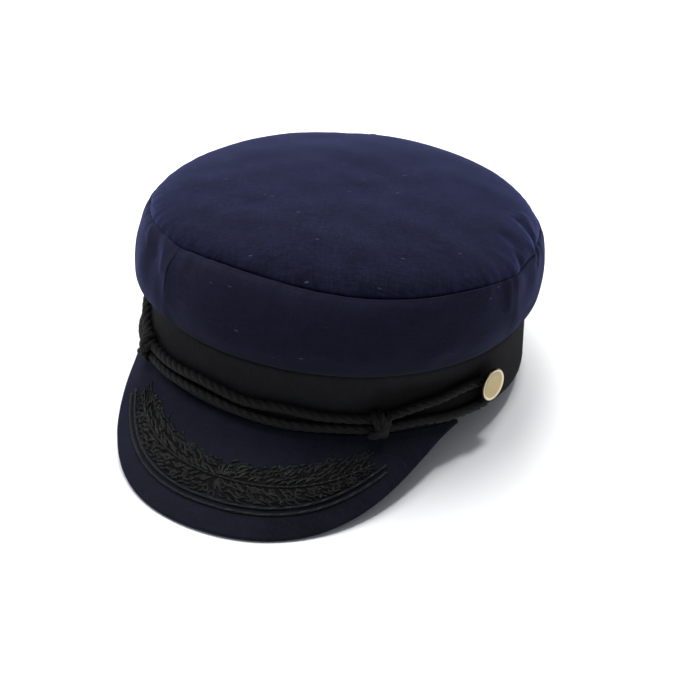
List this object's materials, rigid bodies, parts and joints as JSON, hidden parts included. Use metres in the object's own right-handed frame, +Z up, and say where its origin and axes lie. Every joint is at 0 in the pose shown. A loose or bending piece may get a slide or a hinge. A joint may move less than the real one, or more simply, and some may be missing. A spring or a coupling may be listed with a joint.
{
  "type": "peaked cloth cap",
  "caption": "Soft sailor-style cap with a domed cloth crown, ribbed band, stiff embroidered peak, doubled front cord with knots and flat side buttons.",
  "frame": {"origin": "on the table, under the middle of the cap's length and width", "axes": "-Y is the front of the cap, where the peak is; +X is the wearer's left; +Z is up from the table the cap lies on"},
  "size_m": [0.1962, 0.253, 0.1102],
  "materials": {
    "navy_cloth": "soft matt woven cloth with a slight slub",
    "navy_peak_cloth": "the same cloth stretched over a stiff peak",
    "black_ribbon": "matt ribbed ribbon, upright ribs",
    "black_cord": "twisted cord with a slight sheen",
    "black_thread": "satin-stitched thread with a slight sheen",
    "pale_gold": "brushed pale gold"
  },
  "bodies": {
    "root": {"crown_tip": "navy_cloth", "crown_panel_front": "navy_cloth", "crown_panel_left": "navy_cloth", "crown_panel_right": "navy_cloth", "band": "black_ribbon", "peak": "navy_peak_cloth", "leaf_embroidery": "black_thread", "border_embroidery": "black_thread", "cord_upper": "black_cord", "cord_lower": "black_cord", "knot_right": "black_cord", "knot_left": "black_cord", "button_right": "pale_gold", "button_left": "pale_gold"}
  },
  "joints": []
}
